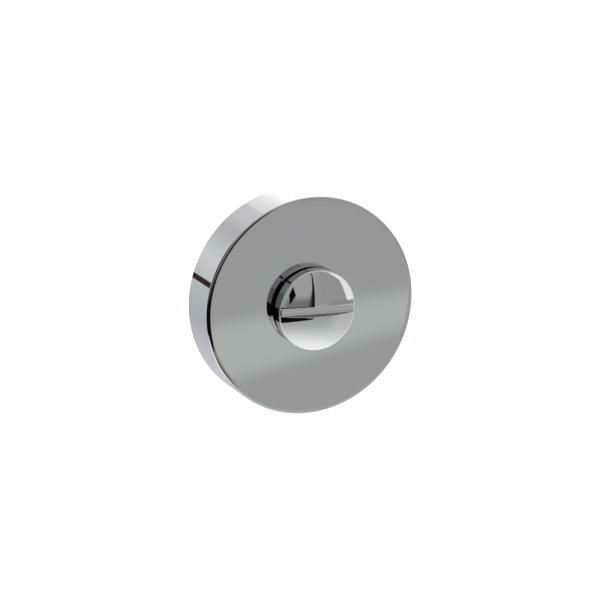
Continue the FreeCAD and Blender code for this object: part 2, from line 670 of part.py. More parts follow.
# Circlip: stamped ring that thins towards its two ears, sprung into the shank's groove
def circlip():
    body = new_body("circlip")
    bore_r = total(GROOVE_R, of("seat_gap"))
    outer_r = total(bore_r, half(total(of("clip_back_width"), of("clip_ear_width"))))
    shift = half(less(of("clip_back_width"), of("clip_ear_width")))
    ring = new_sketch(body, "clip_ring", height=CLIP_BACK)
    add_circle(ring, outer_r, "0", f"-{shift}")
    feature(body, "Pad", "clip_blank", ring, of("clip_thickness"))
    ear_height = total(bore_r, of("clip_ear_width"), half(of("clip_ear_hole")))
    for kind, name, radius in (("Pad", "ears", of("clip_ear")), ("Pocket", "ear_holes", of("clip_ear_hole"))):
        sketch = new_sketch(body, f"{name}_rounds", height=CLIP_BACK)
        for side in ("", "-"):
            add_circle(sketch, radius, side + of("clip_ear_spread"), ear_height)
        feature(body, kind, name, sketch, of("clip_thickness"))
    bore = add_circle(new_sketch(body, "clip_bore_round", height=CLIP_BACK), bore_r)
    feature(body, "Pocket", "clip_bore", bore, of("clip_thickness"))
    gap_half = half(of("clip_opening"))
    gap = new_sketch(body, "clip_gap", height=CLIP_BACK)
    add_rectangle(gap, f"-{gap_half}", "0", gap_half, total(ear_height, of("clip_ear")))
    feature(body, "Pocket", "clip_opening", gap, of("clip_thickness"))
    return body


# Spindle: square bright steel bar, cross-drilled for the spring pin
def spindle():
    body = new_body("spindle")
    side = half(of("spindle_size"))
    square = new_sketch(body, "spindle_square", height=f"-{of('spindle_reach')}")
    add_rectangle(square, f"-{side}", f"-{side}", side, side)
    bar = feature(body, "Pad", "spindle_bar", square, total(SPINDLE_FRONT, of("spindle_reach")))
    flat = [f"Edge{i}" for i, edge in enumerate(bar.Shape.Edges, start=1) if edge.BoundBox.ZLength < NEAR]
    dress(body, "Chamfer", "spindle_ends", bar, flat, of("spindle_chamfer"))
    cross_hole(body, "spindle_pin_hole", total(PIN_R, of("seat_gap")), total(SHANK_R, SHANK_R), PIN_HEIGHT)
    return body


# Spring pin: rolled strip with a slot, through the shank and the spindle
def spindle_pin():
    body = new_body("spindle_pin")
    reach = less(SHANK_R, of("pin_short"))
    sketch = new_sketch(body, "pin_rounds", "YZ_Plane", height=f"-{reach}")
    add_circle(sketch, PIN_R, "0", PIN_HEIGHT)
    add_circle(sketch, less(PIN_R, of("pin_wall")), "0", PIN_HEIGHT)
    feature(body, "Pad", "pin_tube", sketch, total(reach, reach))
    slot = new_sketch(body, "pin_slot_outline", "YZ_Plane", height=f"-{reach}")
    slot_half = half(of("pin_slot"))
    add_rectangle(slot, f"-{slot_half}", PIN_HEIGHT, slot_half, total(PIN_HEIGHT, PIN_R, PIN_R))
    feature(body, "Pocket", "pin_slot", slot, total(reach, reach))
    return body


# Wood screws: one countersunk screw with a cross recess, set four times round the base
def wood_screws():
    screw = new_body("wood_screw_form")
    top, tip = PLATE_TOP, less(PLATE_TOP, of("screw_length"))
    section = add_outline(new_sketch(screw, "screw_section", "XZ_Plane"), [
        ("0", tip),
        (half(of("screw_tip")), tip),
        (half(of("screw_core")), total(tip, of("screw_point"))),
        (SCREW_R, total(tip, of("screw_point"), SCREW_R)),
        (SCREW_R, less(top, less(SCREW_HEAD_R, SCREW_R))),
        (SCREW_HEAD_R, top),
        ("0", top),
    ])
    feature(screw, "Revolution", "screw_turning", section)
    wing_half, arm = half(of("recess_slot")), half(of("recess_width"))
    for name, across, along in (("recess_across", arm, wing_half), ("recess_along", wing_half, arm)):
        wing = new_sketch(screw, f"{name}_outline", height=less(top, of("recess_depth")))
        add_rectangle(wing, f"-{across}", f"-{along}", across, along)
        feature(screw, "Pocket", name, wing, of("recess_depth"))
    copies = []
    for i in range(4):
        turn = math.radians(45 + 90 * i)
        copy = screw.Shape.copy()
        reach = size(SCREW_PLACE)
        copy.translate(V(reach * math.cos(turn), 0, reach * math.sin(turn)))
        copies.append(copy)
    group = doc.addObject("Part::Feature", "wood_screws")
    group.Label = "wood_screws"
    group.Shape = Part.makeCompound(copies)
    return group


pieces = [
    cover_rose(),
    base_plate(),
    clamp_plate(),
    snap_ring(),
    bearing_bush(),
    thumb_turn(),
    washer("thrust_washer", less(NECK_R, of("seat_gap")), WASHER_BORE_R, FLANGE_TOP, of("thrust_thickness")),
    washer("wear_washer", WEAR_R, WASHER_BORE_R, total(WAVE_FRONT, of("seat_gap")), of("wear_thickness")),
    wave_washer(),
    stop_washer(),
    circlip(),
    spindle(),
    spindle_pin(),
    wood_screws(),
]
doc.recompute()

# Nothing is written unless every feature and every piece is sound
for item in doc.Objects:
    if "Invalid" in item.State or "Error" in item.State:
        raise RuntimeError(f"{item.Name} failed: {item.State}")
for piece in pieces:
    if piece.Shape.isNull() or not piece.Shape.isValid():
        raise RuntimeError(f"{piece.Label} has no valid shape")

os.makedirs("parts", exist_ok=True)
for piece in pieces:
    box = piece.Shape.BoundBox
    print(f"{piece.Label}: {len(piece.Shape.Solids)} solids, {piece.Shape.Volume:.1f} mm3, "
          f"y {box.YMin:.2f} to {box.YMax:.2f}, {box.XLength:.2f} x {box.ZLength:.2f}")
    piece.Shape.exportStep(f"parts/{piece.Label}.step")
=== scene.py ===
# %% [markdown]
# # A bathroom lock turn on its round rose
# The real object is a small chromed disc with a coin slot, standing on a chromed cover 50 mm across. Behind
# the cover sit a nylon base, a steel plate, washers, a circlip and the square spindle that works the lock.
# Each piece arrives at its real size and place. This lesson gives them their finishes, and remakes the few
# whose mirror polish or thread needs a finer mesh.

# %% Load the pieces
import json
import math
from itertools import cycle

import bmesh
import bpy
from mathutils import Matrix, Vector


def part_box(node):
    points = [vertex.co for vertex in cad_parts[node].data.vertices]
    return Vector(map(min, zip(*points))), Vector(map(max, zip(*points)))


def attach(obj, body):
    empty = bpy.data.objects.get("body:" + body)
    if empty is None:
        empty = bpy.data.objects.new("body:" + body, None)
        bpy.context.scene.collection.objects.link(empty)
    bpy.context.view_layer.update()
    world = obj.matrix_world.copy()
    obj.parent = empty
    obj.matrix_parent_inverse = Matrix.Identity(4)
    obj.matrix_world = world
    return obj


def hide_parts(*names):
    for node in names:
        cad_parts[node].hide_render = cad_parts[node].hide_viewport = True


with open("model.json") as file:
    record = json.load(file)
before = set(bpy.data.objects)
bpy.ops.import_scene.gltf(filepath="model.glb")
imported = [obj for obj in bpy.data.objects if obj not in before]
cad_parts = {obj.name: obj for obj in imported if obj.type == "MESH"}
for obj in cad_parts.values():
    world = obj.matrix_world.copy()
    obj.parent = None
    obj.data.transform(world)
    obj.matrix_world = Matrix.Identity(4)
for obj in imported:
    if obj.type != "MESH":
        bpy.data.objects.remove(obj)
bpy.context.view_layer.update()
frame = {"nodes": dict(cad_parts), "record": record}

print("pieces:", ", ".join(sorted(frame["nodes"])))

# %% [markdown]
# ## The view
# The photograph was taken from well back with a long lens, a little from the left and from above. A long
# lens keeps the circles close to true ellipses, so the distance is set first and the focal length follows.
# The camera is turned a little about its own axis, because the rose stands slightly tilted in the frame.

# %% Camera
MM = 0.001
FRAME_PX = 600
SENSOR_MM = 36
AZIMUTH, ELEVATION, ROLL = (math.radians(degrees) for degrees in (-24.21, 14.89, 2.43))
DISTANCE = 900 * MM
FOCAL_PX = 4040.8
OFF_CENTRE_PX = (10.7, 6.3)

rose_low, rose_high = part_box("cover_rose")
target = Vector((0, rose_low.y, 0))
back = Vector((math.sin(AZIMUTH) * math.cos(ELEVATION),
               -math.cos(AZIMUTH) * math.cos(ELEVATION),
               math.sin(ELEVATION)))
level = Vector((math.cos(AZIMUTH), math.sin(AZIMUTH), 0))
upright = back.cross(level)
right = math.cos(ROLL) * level + math.sin(ROLL) * upright
up = math.cos(ROLL) * upright - math.sin(ROLL) * level

camera = bpy.data.objects.new("camera", bpy.data.cameras.new("camera"))
bpy.context.scene.collection.objects.link(camera)
camera_turn = Matrix((right, up, back)).transposed().to_4x4()
camera.matrix_world = Matrix.Translation(target + back * DISTANCE) @ camera_turn
camera.data.sensor_width = SENSOR_MM
camera.data.lens = FOCAL_PX / FRAME_PX * SENSOR_MM
camera.data.shift_x = -OFF_CENTRE_PX[0] / FRAME_PX
camera.data.shift_y = OFF_CENTRE_PX[1] / FRAME_PX
camera.data.clip_end = 10
bpy.context.scene.camera = camera
bpy.context.scene.view_settings.view_transform = "Standard"
print(f"lens {camera.data.lens:.1f} mm at {DISTANCE / MM:.0f} mm")

# %% [markdown]
# ## Colours and nodes
# Makers pick colours by eye as sRGB hex values, but a renderer adds light in linear values. One function
# does that change, and one more adds a node with its settings and its links, so that each material below
# reads as a short list.

# %% Helpers for colours and nodes
def linear(hex_code):
    """An sRGB hex colour as the linear values that shaders work in."""
    values = [int(hex_code[i:i + 2], 16) / 255 for i in (1, 3, 5)]
    return [v / 12.92 if v <= 0.04045 else ((v + 0.055) / 1.055) ** 2.4 for v in values] + [1]


def add(tree, kind, inputs=None, **settings):
    """One node: its settings, then each input as a value or as the output that it is linked to."""
    node = tree.nodes.new(kind)
    for name, value in settings.items():
        setattr(node, name, value)
    for socket, value in (inputs or {}).items():
        if isinstance(value, bpy.types.NodeSocket):
            tree.links.new(value, node.inputs[socket])
        else:
            node.inputs[socket].default_value = value
    return node


# %% [markdown]
# ## The studio
# Polished chrome has no colour of its own: what the eye sees is the room. So the room is the main light
# here, painted on the world by direction. Azimuth is counted from straight in front of the rose towards
# its right, and height from the horizon. One ramp over height gives the tones in front of the rose and a
# second those behind it, and soft-edged patches add what stands out against them. Tones and corners were
# tuned until the reflections looked right. What really stood there isn't known, so each patch is named
# for a studio thing that could look so. The camera itself sees plain white.

# %% World: directions as azimuth and height
world = bpy.data.worlds.new("studio")
bpy.context.scene.world = world
world.use_nodes = True
room = world.node_tree
room.nodes.clear()
CHROME_REFLECTS = 0.58

ray = add(room, "ShaderNodeTexCoord").outputs["Generated"]
axes = add(room, "ShaderNodeSeparateXYZ", {0: ray})
forward = add(room, "ShaderNodeMath", {0: axes.outputs["Y"], 1: -1}, operation="MULTIPLY")
azimuth_rad = add(room, "ShaderNodeMath", {0: axes.outputs["X"], 1: forward.outputs[0]}, operation="ARCTAN2")
height_rad = add(room, "ShaderNodeMath", {0: axes.outputs["Z"]}, operation="ARCSINE")
azimuth = add(room, "ShaderNodeMath", {0: azimuth_rad.outputs[0]}, operation="DEGREES").outputs[0]
height = add(room, "ShaderNodeMath", {0: height_rad.outputs[0]}, operation="DEGREES").outputs[0]
sideways = add(room, "ShaderNodeMath", {0: azimuth}, operation="ABSOLUTE").outputs[0]


# %% World: helpers for ramps and patches
def height_ramp(tones):
    """Colour by height, from (degrees above the horizon, colour as seen in chrome) pairs."""
    place = add(room, "ShaderNodeMapRange", {"Value": height, "From Min": -90, "From Max": 90})
    node = add(room, "ShaderNodeValToRGB", {0: place.outputs[0]})
    stops = node.color_ramp.elements
    while len(stops) < len(tones):
        stops.new(1)
    for stop, (degrees, colour) in zip(stops, tones):
        stop.position = (degrees + 90) / 180
        stop.color = linear(colour)
    return node.outputs["Color"]


def soft_step(value, edge, softness):
    """0 below an edge and 1 above it, with a smooth change between."""
    step = add(room, "ShaderNodeMapRange",
               {"Value": value, "From Min": edge - softness / 2, "From Max": edge + softness / 2},
               interpolation_type="SMOOTHSTEP")
    return step.outputs[0]


def paint(under, name, colour, corners, softness, strength):
    """A soft-edged patch over what is there, from its corners as (azimuth, height), taken anticlockwise."""
    mask = strength
    for start, end, soft in zip(corners, corners[1:] + corners[:1], cycle(softness)):
        run, rise = end[0] - start[0], end[1] - start[1]
        length = math.hypot(run, rise)
        across, upward = -rise / length, run / length
        up_part = add(room, "ShaderNodeMath", {0: height, 1: upward}, operation="MULTIPLY").outputs[0]
        measure = add(room, "ShaderNodeMath", {0: azimuth, 1: across, 2: up_part}, operation="MULTIPLY_ADD")
        inside = soft_step(measure.outputs[0], across * start[0] + upward * start[1], soft)
        mask = add(room, "ShaderNodeMath", {0: inside, 1: mask}, operation="MULTIPLY").outputs[0]
    mixed = add(room, "ShaderNodeMix", {0: mask, 6: under, 7: linear(colour)}, data_type="RGBA", label=name)
    return mixed.outputs[2]


def box(left, right, low, high):
    """Corners of an upright patch."""
    return ((left, low), (right, low), (right, high), (left, high))


# %% World: the studio's tones and patches
TURNED_AWAY_AT, TURNED_AWAY_SOFT = 100, 24

front = height_ramp([
    (-90, "#606264"), (-66, "#8A8C8C"), (-56, "#F0F1F1"), (-42, "#E3E6E5"), (-27, "#A3A8A5"),
    (-18, "#939795"), (16, "#969B96"), (33, "#626569"), (62, "#A9ACAC"), (90, "#BFC1C1"),
])
behind = height_ramp([
    (-90, "#606264"), (-60, "#B9BBBC"), (-40, "#C0C2C4"), (-20, "#A0A3A9"), (-6, "#ABAFB0"),
    (9, "#C2C6C5"), (22, "#A6A9A9"), (26, "#BABCBC"), (90, "#BFC1C1"),
])
turned_away = soft_step(sideways, TURNED_AWAY_AT, TURNED_AWAY_SOFT)
studio = add(room, "ShaderNodeMix", {0: turned_away, 6: front, 7: behind}, data_type="RGBA").outputs[2]

# Each: name, colour as seen in chrome, corners, softness of its sides, strength. The first side is the one
# that leaves the first corner, and a single softness serves them all.
PATCHES = (
    ("bounce card, low", "#A8ADA8", ((8, -21), (29.9, -13.7), (8, -18.4)), (0.35, 0.35, 1), 1),
    ("light below the soft box", "#CBCDCD", box(40, 84, -34, -9), (16,), 0.4),
    ("grey card, right", "#8B8F8D", box(21, 66, -10, 24), (12,), 1),
    ("grey cloth below the soft box", "#7E8281", box(33, 66, -11.5, -7), (3,), 0.8),
    ("shade, low in front", "#6A6E6D", box(-8, 16.5, -14, -3), (7,), 1),
    ("dark cloth, upper part", "#767979", box(-40, -14, 9, 26), (5,), 1),
    ("dark cloth, lower part", "#5C5D5D", box(-40, -16, -14, 10), (5,), 1),
    ("black cloth, far left", "#131314", box(-104, -34, -14, 40), (8,), 1),
    ("rail of the cloth", "#1A1A1B", box(-19, -12.5, 22.3, 24.1), (0.6,), 1),
    ("black flag, low", "#0A0A0B",
     ((-104, -34), (19, -21), (19, -10.2), (-104, -10.2)), (0.6, 0.8, 0.6, 10), 1),
    ("grey gap under the flag", "#807F79",
     ((12.5, -19.9), (20, -19.9), (20, -15.8), (12.5, -19.8)), (0.4, 0.8, 0.8, 1), 1),
    ("black square card", "#0A0A0B", ((-3.7, -7.9), (1.6, 0.2), (-1.1, 8.1), (-4.6, 1)), (0.9,), 1),
    ("stand, its soft side", "#4A4C4D", ((12.2, -12), (17, -12), (17.9, 6), (16.7, 6)), (1, 0.8, 4, 0.8), 1),
    ("stand", "#18181A", ((15.3, -13), (19.2, -13), (17.7, 16.5), (16.8, 16.5)), (1, 0.4, 1, 0.5), 1),
    ("arm of the stand", "#2A2B2C", ((16.4, 16), (17.4, 16), (12.8, 29), (11.8, 29)), (1, 0.4, 3, 0.4), 1),
    ("soft box, upper half", "#E4E7E4",
     ((43.7, 7.4), (91, 7.4), (66.7, 22), (24.5, 22)), (0.6, 4.3, 3, 1.2), 1),
    ("soft box, lower half", "#DEE1DE",
     ((50.8, -8.6), (66, -8.6), (66, 7.8), (43.2, 7.8)), (1.2, 6, 0.6, 1.2), 1),
    ("white sheet behind, right", "#F2F3F3", box(125, 181, -14, 26), (8,), 1),
    ("brown strip behind", "#33241F", box(-160, -130, -3.7, -1), (0.6,), 1),
)
for patch in PATCHES:
    studio = paint(studio, *patch)

seen_in_chrome = add(room, "ShaderNodeBackground", {"Color": studio, "Strength": 1 / CHROME_REFLECTS})
plain_white = add(room, "ShaderNodeBackground", {"Color": linear("#FFFFFF"), "Strength": 1.05})
camera_ray = add(room, "ShaderNodeLightPath").outputs["Is Camera Ray"]
chosen = add(room, "ShaderNodeMixShader",
             {0: camera_ray, 1: seen_in_chrome.outputs[0], 2: plain_white.outputs[0]})
add(room, "ShaderNodeOutputWorld", {"Surface": chosen.outputs[0]})
print("patches on the studio's walls:", len(PATCHES))

# %% [markdown]
# ## Floor and lamps
# The floor is a plain pale sheet well below the rose, so no hard shadow falls in the picture. It is hidden
# from reflections, because the painted studio already has a lower half. Two wide lamps light what isn't
# chrome, the nylon and the plastics seen from behind, and they too stay out of the reflections.

# %% Floor and lamps
FLOOR_DROP = 120 * MM
FLOOR_SIDE = 6

floor_mesh = bpy.data.meshes.new("floor")
half_side = FLOOR_SIDE / 2
floor_corners = [(x * half_side, y * half_side, -FLOOR_DROP) for x, y in ((-1, -1), (1, -1), (1, 1), (-1, 1))]
floor_mesh.from_pydata(floor_corners, [], [(0, 1, 2, 3)])
floor = bpy.data.objects.new("floor", floor_mesh)
bpy.context.scene.collection.objects.link(floor)
floor.visible_glossy = False

paper = bpy.data.materials.new("pale paper")
paper.use_nodes = True
paper_nodes = paper.node_tree
paper_shader = paper_nodes.nodes["Principled BSDF"]
paper_shader.inputs["Base Color"].default_value = linear("#F4F4F2")
paper_shader.inputs["Roughness"].default_value = 0.9
paper_shader.inputs["Emission Color"].default_value = linear("#FFFFFF")
paper_shader.inputs["Emission Strength"].default_value = 0.45
floor_mesh.materials.append(paper)


def lamp(name, place, watts, side):
    """Square lamp that looks at the rose, from a place in metres."""
    light = bpy.data.objects.new(name, bpy.data.lights.new(name, "AREA"))
    light.data.energy = watts
    light.data.size = side
    light.location = place
    light.rotation_euler = (target - Vector(place)).to_track_quat("-Z", "Y").to_euler()
    light.visible_glossy = False
    bpy.context.scene.collection.objects.link(light)


lamp("lamp in front", (-0.5, -0.7, 0.7), 6, 0.5)
lamp("lamp behind", (0.6, 0.9, 0.7), 9, 0.6)

# %% [markdown]
# ## Finishes
# Each finish starts from the real metal or plastic and from how its surface was made. A pattern's scale is
# given as the size in millimetres of what it draws, and one function turns a place on the piece into such
# a pattern's coordinates.

# %% A new finish
def finish(name, colour, roughness, metallic=0.0):
    """Named material with its shader and its place coordinates in millimetres."""
    material = bpy.data.materials.new(name)
    material.use_nodes = True
    tree = material.node_tree
    shader = tree.nodes["Principled BSDF"]
    shader.inputs["Base Color"].default_value = linear(colour)
    shader.inputs["Roughness"].default_value = roughness
    shader.inputs["Metallic"].default_value = metallic
    place = add(tree, "ShaderNodeTexCoord").outputs["Object"]
    in_mm = add(tree, "ShaderNodeVectorMath", {0: place, 1: (1 / MM, 1 / MM, 1 / MM)}, operation="MULTIPLY")
    return material, tree, shader, in_mm.outputs[0]


# %% [markdown]
# ### Polished chrome
# A brass pressing and a zinc casting, buffed and then plated: chrome over nickel is a cold, slightly blue
# mirror. The buffing leaves hairlines too fine to see one by one, so they are drawn as small changes of
# roughness. The plate keeps a very faint orange-peel wave, a few millimetres long. A thin ring on the rim of
# the turn is made a little rougher and painted paler, a painted highlight that shows as a bright line. That
# ring is a guess at what makes the line on the real one.

# %% Polished chrome
HAIRLINE_MM = 0.35
TINT_MM = 9
ORANGE_PEEL_MM = 5
RIM_LINE_AT_MM = 9.05
RIM_LINE_FULL_MM, RIM_LINE_GONE_MM = 0.14, 0.2
RIM_LINE_IN_FRONT_OF_MM = 14.3

polished_chrome, tree, shader, in_mm = finish("polished chrome plate", "#C9CBCC", 0.02, metallic=1)
stretched = add(tree, "ShaderNodeVectorMath", {0: in_mm, 1: (1, 0.12, 0.12)}, operation="MULTIPLY")
hairlines = add(tree, "ShaderNodeTexNoise",
                {"Vector": stretched.outputs[0], "Scale": 1 / HAIRLINE_MM, "Detail": 3})
polish = add(tree, "ShaderNodeMapRange", {
    "Value": hairlines.outputs["Fac"], "From Min": 0.35, "From Max": 0.7, "To Min": 0.012, "To Max": 0.022})
tint = add(tree, "ShaderNodeTexNoise", {"Vector": in_mm, "Scale": 1 / TINT_MM, "Detail": 2})
plate_colour = add(tree, "ShaderNodeMix",
                   {0: tint.outputs["Fac"], 6: linear("#C8CACA"), 7: linear("#CACCCE")}, data_type="RGBA")
flattened = add(tree, "ShaderNodeVectorMath", {0: in_mm, 1: (1, 0, 1)}, operation="MULTIPLY")
from_axis = add(tree, "ShaderNodeVectorMath", {0: flattened.outputs[0]}, operation="LENGTH").outputs["Value"]
off_rim = add(tree, "ShaderNodeMath", {0: from_axis, 1: RIM_LINE_AT_MM}, operation="SUBTRACT")
off_rim_size = add(tree, "ShaderNodeMath", {0: off_rim.outputs[0]}, operation="ABSOLUTE")
in_ring = add(tree, "ShaderNodeMapRange", {
    "Value": off_rim_size.outputs[0], "From Min": RIM_LINE_FULL_MM, "From Max": RIM_LINE_GONE_MM,
    "To Min": 1, "To Max": 0})
towards_room = add(tree, "ShaderNodeSeparateXYZ", {0: in_mm}).outputs["Y"]
in_front = add(tree, "ShaderNodeMapRange", {
    "Value": towards_room, "From Min": -RIM_LINE_IN_FRONT_OF_MM, "From Max": -RIM_LINE_IN_FRONT_OF_MM - 0.1})
both = add(tree, "ShaderNodeMath", {0: in_ring.outputs[0], 1: in_front.outputs[0]}, operation="MULTIPLY")
rim_line = both.outputs[0]
# The ring on the front of the rim gets a paler colour here, a painted highlight, and a higher roughness
# below.
rim_highlight = add(tree, "ShaderNodeMix", {0: rim_line, 6: plate_colour.outputs[2], 7: linear("#E8EAEA")},
                data_type="RGBA")
tree.links.new(rim_highlight.outputs[2], shader.inputs["Base Color"])
scattered = add(tree, "ShaderNodeMix", {0: rim_line, 2: polish.outputs[0], 3: 0.4})
tree.links.new(scattered.outputs[0], shader.inputs["Roughness"])
peel = add(tree, "ShaderNodeTexNoise", {"Vector": in_mm, "Scale": 1 / ORANGE_PEEL_MM, "Detail": 1})
wave = add(tree, "ShaderNodeBump", {"Height": peel.outputs["Fac"], "Strength": 0.1, "Distance": 0.002 * MM})
tree.links.new(wave.outputs[0], shader.inputs["Normal"])

# %% [markdown]
# ### Glass-filled nylon
# The base is moulded black nylon. Its glass fibres come to the surface as a fine grey fleck, and the mould
# was spark-eroded, which gives an even, slightly rough grain that scatters the light.

# %% Glass-filled nylon
SPARK_GRAIN_MM = 0.18
FIBRE_MM = 0.5

black_nylon, tree, shader, in_mm = finish("glass-filled nylon", "#232325", 0.5)
fibres = add(tree, "ShaderNodeTexNoise", {"Vector": in_mm, "Scale": 1 / FIBRE_MM, "Detail": 4})
fleck = add(tree, "ShaderNodeMapRange", {"Value": fibres.outputs["Fac"], "From Min": 0.5, "From Max": 0.72})
nylon_colour = add(tree, "ShaderNodeMix", {0: fleck.outputs[0], 6: linear("#1F1F21"), 7: linear("#3B3C3F")},
                   data_type="RGBA")
tree.links.new(nylon_colour.outputs[2], shader.inputs["Base Color"])
sheen_spots = add(tree, "ShaderNodeMapRange", {"Value": fibres.outputs["Fac"], "To Min": 0.62, "To Max": 0.4})
tree.links.new(sheen_spots.outputs[0], shader.inputs["Roughness"])
grain = add(tree, "ShaderNodeTexNoise", {"Vector": in_mm, "Scale": 1 / SPARK_GRAIN_MM, "Detail": 2})
grain_bump = add(tree, "ShaderNodeBump",
                 {"Height": grain.outputs["Fac"], "Strength": 0.35, "Distance": 0.03 * MM})
tree.links.new(grain_bump.outputs[0], shader.inputs["Normal"])

# %% [markdown]
# ### Bright zinc plate
# The steel parts are barrel plated in zinc and passivated, which leaves a pale blue-white metal with faint
# clouds of yellow and blue where the film is thicker, over the marks of the rolled or drawn steel.

# %% Bright zinc plate
CLOUD_MM = 4
ROLLING_MM = 0.25

zinc_plate, tree, shader, in_mm = finish("bright zinc plate", "#B4B8BC", 0.3, metallic=1)
clouds = add(tree, "ShaderNodeTexNoise", {"Vector": in_mm, "Scale": 1 / CLOUD_MM, "Detail": 3})
film = add(tree, "ShaderNodeValToRGB", {0: clouds.outputs["Fac"]})
for stop, position, colour in zip(film.color_ramp.elements, (0.35, 0.65), ("#B9B7AC", "#AEB4BE")):
    stop.position = position
    stop.color = linear(colour)
tree.links.new(film.outputs["Color"], shader.inputs["Base Color"])
rolled = add(tree, "ShaderNodeVectorMath", {0: in_mm, 1: (1, 0.1, 1)}, operation="MULTIPLY")
rolling = add(tree, "ShaderNodeTexNoise", {"Vector": rolled.outputs[0], "Scale": 1 / ROLLING_MM, "Detail": 3})
zinc_polish = add(tree, "ShaderNodeMapRange",
                  {"Value": rolling.outputs["Fac"], "To Min": 0.2, "To Max": 0.42})
tree.links.new(zinc_polish.outputs[0], shader.inputs["Roughness"])
zinc_bump = add(tree, "ShaderNodeBump",
                {"Height": rolling.outputs["Fac"], "Strength": 0.3, "Distance": 0.006 * MM})
tree.links.new(zinc_bump.outputs[0], shader.inputs["Normal"])

# %% [markdown]
# ### Spring steel
# Drawn wire and rolled strip, hardened and lightly oiled: a darker, warmer grey than plated steel, with
# draw lines along it and a thin film that varies its gloss.

# %% Spring steel
DRAW_LINE_MM = 0.15
OIL_MM = 3

spring_steel, tree, shader, in_mm = finish("oiled spring steel", "#8A8782", 0.35, metallic=1)
drawn = add(tree, "ShaderNodeTexNoise",
            {"Vector": in_mm, "Scale": 1 / DRAW_LINE_MM, "Detail": 2, "Distortion": 0.4})
oil = add(tree, "ShaderNodeTexNoise", {"Vector": in_mm, "Scale": 1 / OIL_MM, "Detail": 2})
steel_colour = add(tree, "ShaderNodeMix", {0: oil.outputs["Fac"], 6: linear("#7C7975"), 7: linear("#96938E")},
                   data_type="RGBA")
tree.links.new(steel_colour.outputs[2], shader.inputs["Base Color"])
steel_polish = add(tree, "ShaderNodeMapRange", {"Value": oil.outputs["Fac"], "To Min": 0.22, "To Max": 0.5})
tree.links.new(steel_polish.outputs[0], shader.inputs["Roughness"])
steel_bump = add(tree, "ShaderNodeBump",
                 {"Height": drawn.outputs["Fac"], "Strength": 0.25, "Distance": 0.008 * MM})
tree.links.new(steel_bump.outputs[0], shader.inputs["Normal"])

# %% [markdown]
# ### Acetal
# The bush and two washers are turned and punched from natural acetal, a slippery plastic of a milky, very
# slightly warm white. Light goes a little way in, and the cutter leaves fine rings that catch a soft gloss.

# %% Acetal
CUTTER_RING_MM = 0.2
MILK_MM = 2.5

white_acetal, tree, shader, in_mm = finish("natural acetal", "#E9E7DF", 0.32)
shader.inputs["Subsurface Weight"].default_value = 0.15
shader.inputs["Subsurface Radius"].default_value = (1.2 * MM, 1.0 * MM, 0.8 * MM)
shader.inputs["Subsurface Scale"].default_value = 1
rings = add(tree, "ShaderNodeTexWave",
            {"Vector": in_mm, "Scale": 1 / CUTTER_RING_MM / 3, "Distortion": 0.6, "Detail": 1},
            wave_type="RINGS", rings_direction="Y")
acetal_bump = add(tree, "ShaderNodeBump",
                  {"Height": rings.outputs["Fac"], "Strength": 0.2, "Distance": 0.006 * MM})
tree.links.new(acetal_bump.outputs[0], shader.inputs["Normal"])
milk = add(tree, "ShaderNodeTexNoise", {"Vector": in_mm, "Scale": 1 / MILK_MM, "Detail": 2})
acetal_colour = add(tree, "ShaderNodeMix",
                    {0: milk.outputs["Fac"], 6: linear("#E4E1D8"), 7: linear("#EEECE6")}, data_type="RGBA")
tree.links.new(acetal_colour.outputs[2], shader.inputs["Base Color"])

# %% [markdown]
# ### Phosphated steel
# The circlip is stamped from spring steel and phosphated, which grows a fine, dark, crystalline coat that
# holds oil: nearly black, dull, and a little worn bright where it rubs.

# %% Phosphated steel
CRYSTAL_MM = 0.08

phosphated_steel, tree, shader, in_mm = finish("phosphated steel", "#3A3B3C", 0.5, metallic=1)
crystals = add(tree, "ShaderNodeTexVoronoi", {"Vector": in_mm, "Scale": 1 / CRYSTAL_MM})
coat = add(tree, "ShaderNodeMix",
           {0: crystals.outputs["Distance"], 6: linear("#2E2F31"), 7: linear("#4B4C4E")}, data_type="RGBA")
tree.links.new(coat.outputs[2], shader.inputs["Base Color"])
coat_bump = add(tree, "ShaderNodeBump",
                {"Height": crystals.outputs["Distance"], "Strength": 0.4, "Distance": 0.01 * MM})
tree.links.new(coat_bump.outputs[0], shader.inputs["Normal"])

# %% Give each kept piece its finish
FINISHES = {
    "polished_chrome": polished_chrome,
    "black_nylon": black_nylon,
    "zinc_plate": zinc_plate,
    "spring_steel": spring_steel,
    "white_acetal": white_acetal,
    "phosphated_steel": phosphated_steel,
}
slots = {part["node"]: part["material_slot"] for part in frame["record"]["subparts"]}
for node, piece in frame["nodes"].items():
    piece.data.materials.clear()
    piece.data.materials.append(FINISHES[slots[node]])
print("finishes given:", len(slots))

# %% [markdown]
# ## Turned forms
# A mirror shows every flat facet, so the two chromed pieces are remade from their sections, with an exact
# normal at each corner of each face. A section is a chain of stretches, each straight or an arc, in radius
# and height above the door face. Sharp corners stay sharp because the two stretches that meet there each
# bring their own normal.

# %% Sections and the lathe
COLUMNS = 360


def straight(start, end, steps=1):
    """Stretch from start to end whose normal points to its left: points of (radius, height, normal)."""
    run, rise = end[0] - start[0], end[1] - start[1]
    length = math.hypot(run, rise)
    normal = (-rise / length, run / length)
    return [(start[0] + run * i / steps, start[1] + rise * i / steps, *normal) for i in range(steps + 1)]


def arc(centre, radius, start, end, steps=12):
    """Outward-rounded stretch about a centre, from one angle to another, in degrees from the radius axis."""
    angles = [math.radians(start + (end - start) * i / steps) for i in range(steps + 1)]
    return [(centre[0] + radius * math.cos(a), centre[1] + radius * math.sin(a), math.cos(a), math.sin(a))
            for a in angles]


